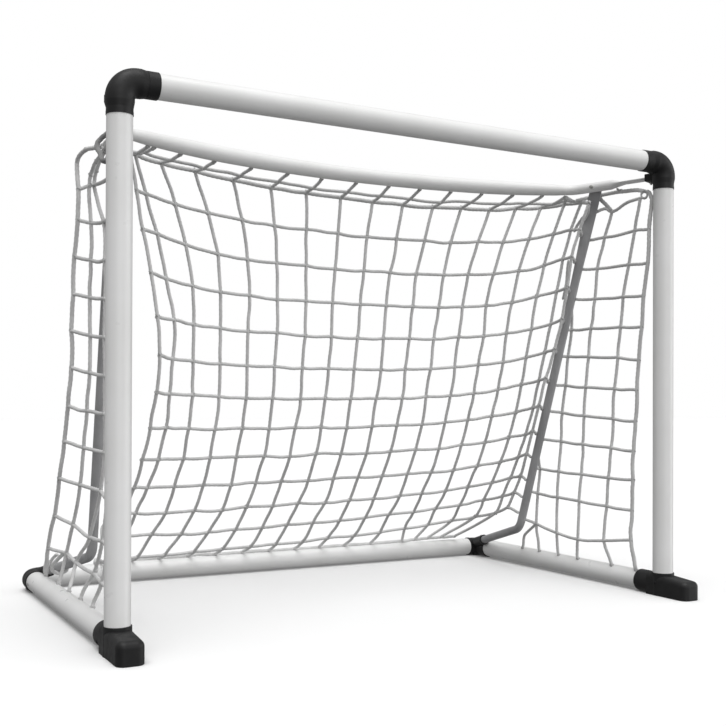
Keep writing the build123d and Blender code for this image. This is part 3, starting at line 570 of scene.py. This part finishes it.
# the border cord's left end is taken round the bow's end
back.tube(run([nodes[0, 0], (-0.765, 0.45, 1.352), (-0.80, 0.36, 1.345), (-0.815, 0.318, 1.350)], 0.8, 0.001), ROPE * 1.3)
back_obj = back.build("frame", [cord_grey, knot_grey, tie_dark])
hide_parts("net_back")


# ---------------------------------------------------------------- the right side of the net
def lay(x, pts):
    return [np.array([x, a / 1000, b / 1000]) for a, b in pts]


RIGHT = [
    [(834, 310, 1198), (36, 1199), (99, 1202), (248, 1202), None, None],
    [(831, 341, 1100), (45, 1089), (128, 1095), (281, 1095), None, None],
    [(828, 374, 997), (59, 982), (153, 988), (302, 995), None, None],
    [(825, 407, 891), (71, 879), (169, 883), (317, 890), (419, 894), None],
    [(822, 438, 796), (82, 773), (184, 780), (331, 789), (439, 797), None],
    [(819, 470, 692), (92, 670), (194, 676), (341, 684), (456, 691), None],
    [(816, 500, 598), (100, 566), (205, 574), (350, 584), (473, 593), None],
    [(813, 533, 494), (107, 466), (215, 472), (359, 481), (481, 488), None],
    [(810, 567, 386), (111, 368), (225, 371), (368, 375), (489, 377), (605, 380)],
    [(807, 595, 299), (115, 268), (235, 272), (375, 278), (495, 282), (615, 287)],
    [(804, 629, 191), (121, 167), (246, 152), (386, 140), (503, 149), (620, 171)],
]
side_x = [0.874, 0.871, 0.868, 0.868, 0.868]
right = Cords("net_right_cords")
grid = []
for row in RIGHT:
    line = [np.array([side_x[k], row[k + 1][0] / 1000, row[k + 1][1] / 1000]) for k in range(5) if row[k + 1]]
    line = [q + rng.normal(0, 0.0013, 3) for q in line]
    grid.append(line)
    s = np.array(row[0]) / 1000 + np.array([0.013, 0.004, 0.0])
    right.tube(run(line + [s], 0.7, 0.0012, 0.0015), ROPE)
    for q in line:
        right.knot(q, (1, 0.1, 0), 0.0015)
bar_ties = {0: (0.108, 0.885), 1: (0.228, 0.886), 2: (0.405, 0.886), 3: (0.513, 0.886), 4: (0.626, 0.886)}
for k in range(5):
    column = [g[k] for g in grid if len(g) > k]
    if k == 0:
        column = lay(0.876, [(40, 1322), (27, 1293)]) + column
    if k == 1:
        column = lay(0.872, [(76, 1308)]) + column
    if k == 2:
        column = lay(0.870, [(212, 1284)]) + column
    if k == 3:
        column = [strut_point(0.965) + np.array([0.012, 0.004, 0])] + column
    if k == 4:
        column = [strut_point(0.435) + np.array([0.012, 0.004, 0])] + column
    y, x = bar_ties[k]
    end = np.array([x, y, 0.0665])
    column = column + [end + np.array([-0.004, 0.0, 0.012]), end]
    right.tube(run(column, 0.7, 0.0012), ROPE * (1.2 if k == 0 else 1.0))
    right.knot(end, (-0.4, 0, 1), 0.0017, 0.003)
    right.tube(run([end + np.array([-0.002, 0.001, 0.012]), end + np.array([0.0, 0.0, 0.004]), end + np.array([0.0, 0.0, -0.001])], 0.9, 0.0003), 0.0044, slot=1)
# rear column of the last rows, down to the bar behind the strut's foot
right.tube(run([grid[10][4], (0.872, 0.70, 0.12), (0.884, 0.728, 0.0665)], 0.7, 0.001), ROPE)
right.knot((0.884, 0.728, 0.068), (-0.4, 0, 1), 0.0017, 0.003)

# gathered top: the border cord runs forward from the strut along the bow's leg to a small ring, then down the post
ring_at = np.array([0.872, 0.058, 1.318])
right.tube(run([(0.812, 0.335, 1.336), (0.845, 0.30, 1.347), (0.866, 0.235, 1.349), (0.870, 0.167, 1.346), (0.872, 0.095, 1.338), ring_at + np.array([0, 0.004, 0.012])], 0.8, 0.001), ROPE * 1.25)
right.loop(ring_at, (1, 0.15, 0), 0.0125, 0.0032, 0, 1.15, 0.001)
right.loop(ring_at + np.array([0.004, 0.004, -0.003]), (0.9, 0.35, 0.1), 0.0105, 0.0030, 1, 1.1, 0.001, 1.2)
right.tube(run([ring_at + np.array([0, -0.008, 0.008]), (0.876, 0.040, 1.322), (0.877, 0.028, 1.296), grid[0][0]], 0.8, 0.001), ROPE * 1.1)
right.tube(run([(0.836, 0.37, 1.235), (0.846, 0.332, 1.283), (0.852, 0.27, 1.291), (0.862, 0.235, 1.298), (0.870, 0.212, 1.284), (0.872, 0.133, 1.305), ring_at + np.array([0, 0.01, -0.01])], 0.8, 0.0015), ROPE)
right.tube(run([(0.860, 0.266, 1.347), (0.866, 0.262, 1.333), (0.869, 0.235, 1.308), (0.870, 0.212, 1.284)], 0.6, 0.0006), ROPE * 1.25, slot=1)
right.knot((0.870, 0.212, 1.284), (1, 0, 0), 0.0021, 0.0032)
# a short tie holds the border cord up to the bow's leg
right.tube(run([(0.870, 0.167, 1.346), (0.860, 0.166, 1.349), (0.849, 0.165, 1.354)], 0.8, 0.0004), ROPE * 0.7, slot=1)
right.knot((0.870, 0.167, 1.346), (1, 0, 0.2), 0.0019)
right.tube(run([(0.818, 0.378, 1.135), (0.822, 0.395, 1.06), (0.826, 0.420, 0.998)], 0.8, 0.001), ROPE * 0.8)
right_obj = right.build("frame", [cord_grey, knot_grey, tie_dark])
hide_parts("net_right")


# ---------------------------------------------------------------- the left side of the net
LEFT = [
    [(-900, 425, 1221), (-868, 421, 1232), (-852, 440, 1240), (-868, 215, 1215), (-880, 120, 1205), (-892, 55, 1200)],
    [(-900, 431, 1136), (-868, 413, 1129), (-850, 347, 1120), (-866, 215, 1108), (-880, 125, 1098), (-890, 58, 1092)],
    [(-900, 461, 1035), (-868, 414, 1023), (-850, 324, 1011), (-866, 212, 1000), (-880, 130, 990), (-888, 62, 985)],
    [(-900, 476, 931), (-868, 415, 917), (-850, 322, 905), (-866, 212, 895), (-880, 132, 886), (-887, 66, 880)],
    [(-900, 491, 826), (-868, 416, 811), (-850, 320, 800), (-866, 213, 790), (-880, 134, 781), (-886, 70, 775)],
    [(-900, 505, 720), (-868, 416, 705), (-850, 318, 694), (-866, 213, 684), (-880, 136, 676), (-886, 74, 671)],
    [(-900, 539, 613), (-868, 441, 599), (-850, 316, 589), (-866, 213, 579), (-880, 138, 571), (-886, 78, 566)],
    [(-900, 580, 505), (-868, 474, 490), (-850, 320, 481), (-866, 216, 472), (-880, 141, 465), (-886, 84, 461)],
    [(-900, 633, 396), (-868, 513, 382), (-850, 353, 375), (-866, 228, 364), (-880, 150, 358), (-886, 92, 355)],
    [(-900, 711, 278), (-868, 608, 259), (-850, 471, 235), (-868, 262, 250), (-880, 175, 248), (-886, 104, 246)],
    [(-900, 797, 167), (-868, 689, 163), (-856, 612, 145), (-870, 345, 150), (-882, 215, 146), (-886, 116, 144)],
]
left = Cords("net_left_cords")
lg = np.array(LEFT, float) / 1000
lg = lg + rng.normal(0, 0.0013, lg.shape)
for j in range(11):
    left.tube(run(lg[j], 0.75, 0.0012, 0.0015), ROPE)
    for k in range(6):
        left.knot(lg[j, k], (1, 0.1, 0), 0.0016 if k else 0.0018)
tops = [
    [(-0.846, 0.235, 1.348), (-0.872, 0.268, 1.312), (-0.892, 0.372, 1.322), (-0.900, 0.440, 1.300)],
    [(-0.852, 0.220, 1.350), (-0.870, 0.262, 1.300), (-0.868, 0.352, 1.288), (-0.868, 0.415, 1.262)],
    [(-0.846, 0.228, 1.344), (-0.850, 0.33, 1.312), (-0.850, 0.42, 1.278)],
    [(-0.866, 0.175, 1.350), (-0.866, 0.20, 1.29)],
    [(-0.880, 0.110, 1.350), (-0.880, 0.118, 1.28)],
    [(-0.880, 0.062, 1.352), (-0.890, 0.050, 1.29)],
]
# each column starts on the underside of the bow's leg
for k, y in enumerate((0.232, 0.216, 0.224, 0.172, 0.108, 0.064)):
    tops[k].insert(0, (-(0.794 + (0.327 - y) / 0.287 * 0.093) - 0.004, y, 1.3515 if k < 4 else 1.362))
side_ties = [(-0.890, 0.880), (-0.886, 0.709), (-0.888, 0.569), (-0.888, 0.423), (-0.888, 0.293), (-0.886, 0.125)]
for k in range(6):
    x, y = side_ties[k]
    end = np.array([x, y, 0.0672])
    column = [np.array(q) for q in tops[k]] + list(lg[:, k]) + [end + np.array([0.003, -0.002, 0.014]), end]
    left.tube(run(column, 0.7, 0.0012), ROPE * (1.15 if k in (0, 5) else 1.0))
    left.knot(end, (0.4, 0, 1), 0.0018, 0.0031)
    left.tube(run([end + np.array([0.002, 0.001, 0.012]), end + np.array([0.0, 0.0, 0.004]), end + np.array([0.0, 0.0, -0.001])], 0.9, 0.0003), 0.0044, slot=1)
    for q in tops[k][2:]:
        left.knot(q, (1, 0.1, 0.2), 0.0016)
# the row that closes the top, gathered under the bow's end
left.tube(run([np.array(tops[k][2]) for k in range(6)][::-1], 0.7, 0.0015), ROPE)
# dark lashing from the bow's end, hanging as a thick loop behind the post
left.tube(run([(-0.862, 0.212, 1.345), (-0.898, 0.222, 1.306), (-0.900, 0.178, 1.266), (-0.897, 0.150, 1.243), (-0.885, 0.16, 1.262), (-0.868, 0.20, 1.31), (-0.858, 0.205, 1.345)], 0.9, 0.001), ROPE * 1.25, slot=2)
# the loop round the strut's foot, left long and slack
left.tube(run([lg[10, 1], (-0.862, 0.74, 0.150), (-0.846, 0.80, 0.138), (-0.832, 0.835, 0.118), (-0.828, 0.86, 0.088), (-0.842, 0.868, 0.075), (-0.868, 0.858, 0.082), (-0.882, 0.83, 0.098), (-0.878, 0.775, 0.130), lg[10, 1] + np.array([0.004, 0.004, 0.002])], 0.9, 0.002), ROPE * 1.1)
left.tube(run([lg[10, 0], (-0.896, 0.860, 0.100), (-0.886, 0.905, 0.074), (-0.868, 0.93, 0.100), (-0.856, 0.905, 0.125), (-0.858, 0.86, 0.135)], 0.9, 0.0015), ROPE)
left_obj = left.build("frame", [cord_grey, knot_grey, tie_dark])
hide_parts("net_left")

def cord_area(o):
    return sum(p.area for p in o.data.polygons) / 2


for o, c in ((back_obj, back), (right_obj, right), (left_obj, left)):
    print("cords", o.name, "length", round(c.length, 2), "half surface", round(cord_area(o), 3), "verts", len(o.data.vertices))
